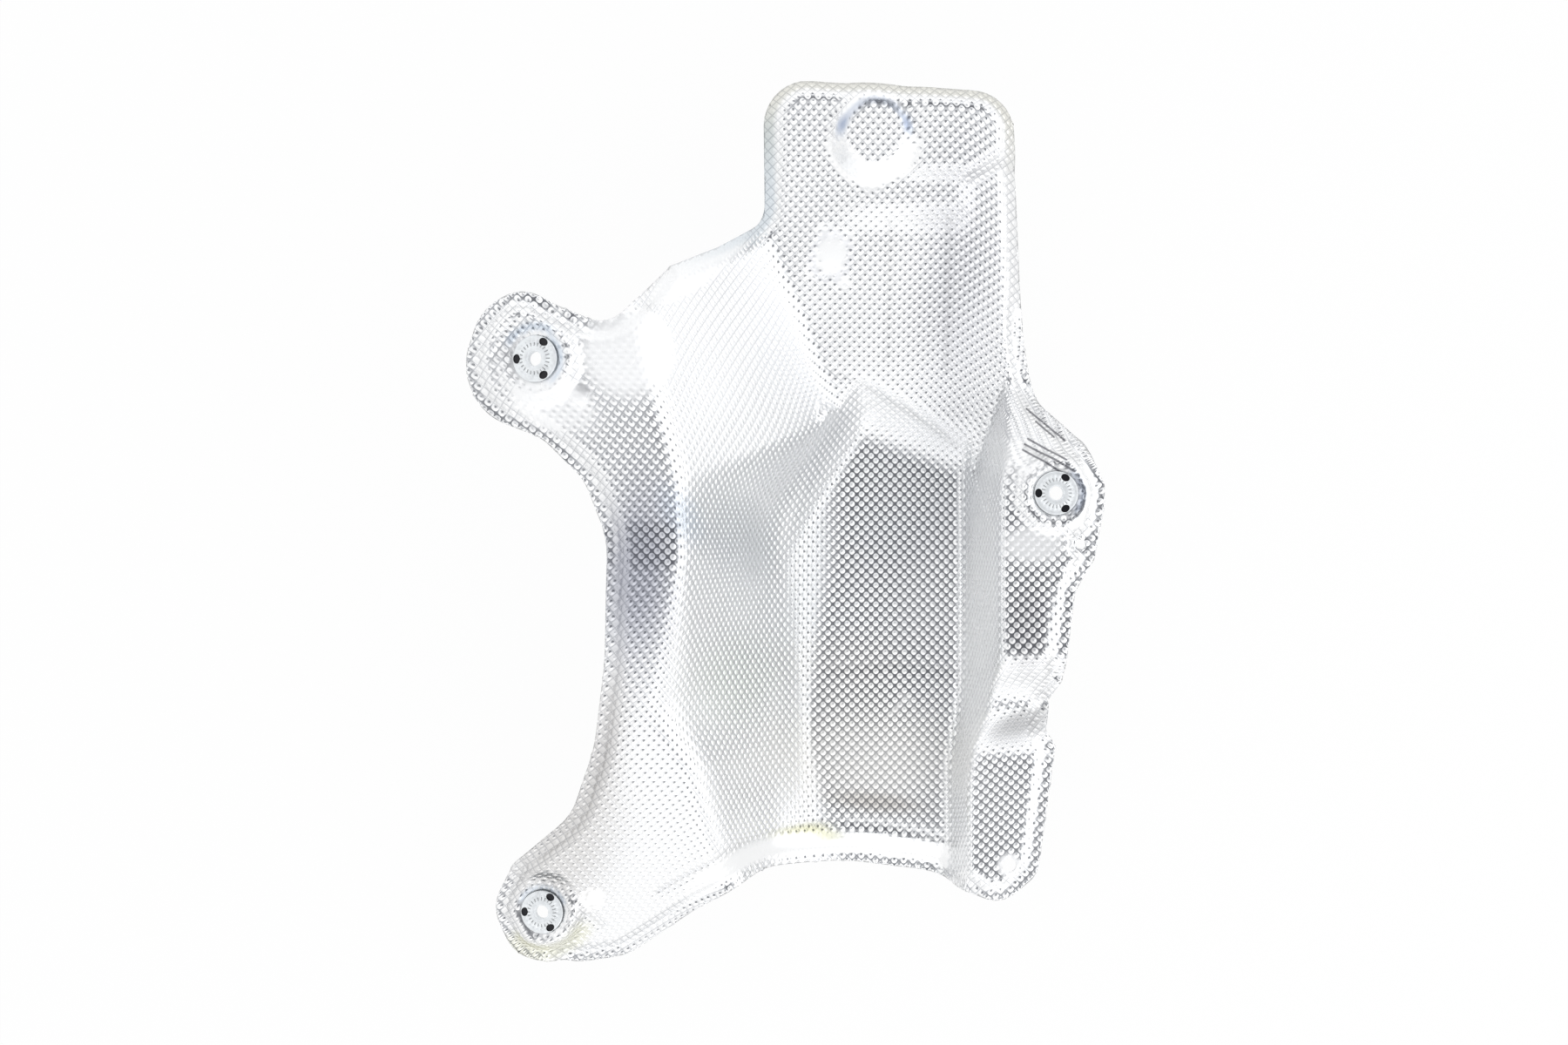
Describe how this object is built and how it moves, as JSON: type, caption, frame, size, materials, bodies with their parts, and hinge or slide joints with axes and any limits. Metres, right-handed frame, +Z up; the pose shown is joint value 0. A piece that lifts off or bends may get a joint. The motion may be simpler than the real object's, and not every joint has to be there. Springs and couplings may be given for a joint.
{
  "type": "exhaust heat shield",
  "caption": "Pressed, dimpled aluminium heat shield: a trough for an exhaust pipe between a left band and a right flange, a tongue above it, and captive bolt washers.",
  "frame": {"origin": "bottom centre of the part's bounding box as it lies with the trough open upwards", "axes": "+Z up, out of the trough's open side; +Y along the trough towards the tongue; +X towards the flange"},
  "size_m": [0.2866, 0.4114, 0.1248],
  "materials": {
    "sheet": "embossed satin",
    "washer": "satin"
  },
  "bodies": {
    "root": {"shield": "sheet", "washer_upper_left": "washer", "washer_right": "washer", "washer_lower_left": "washer"}
  },
  "joints": []
}
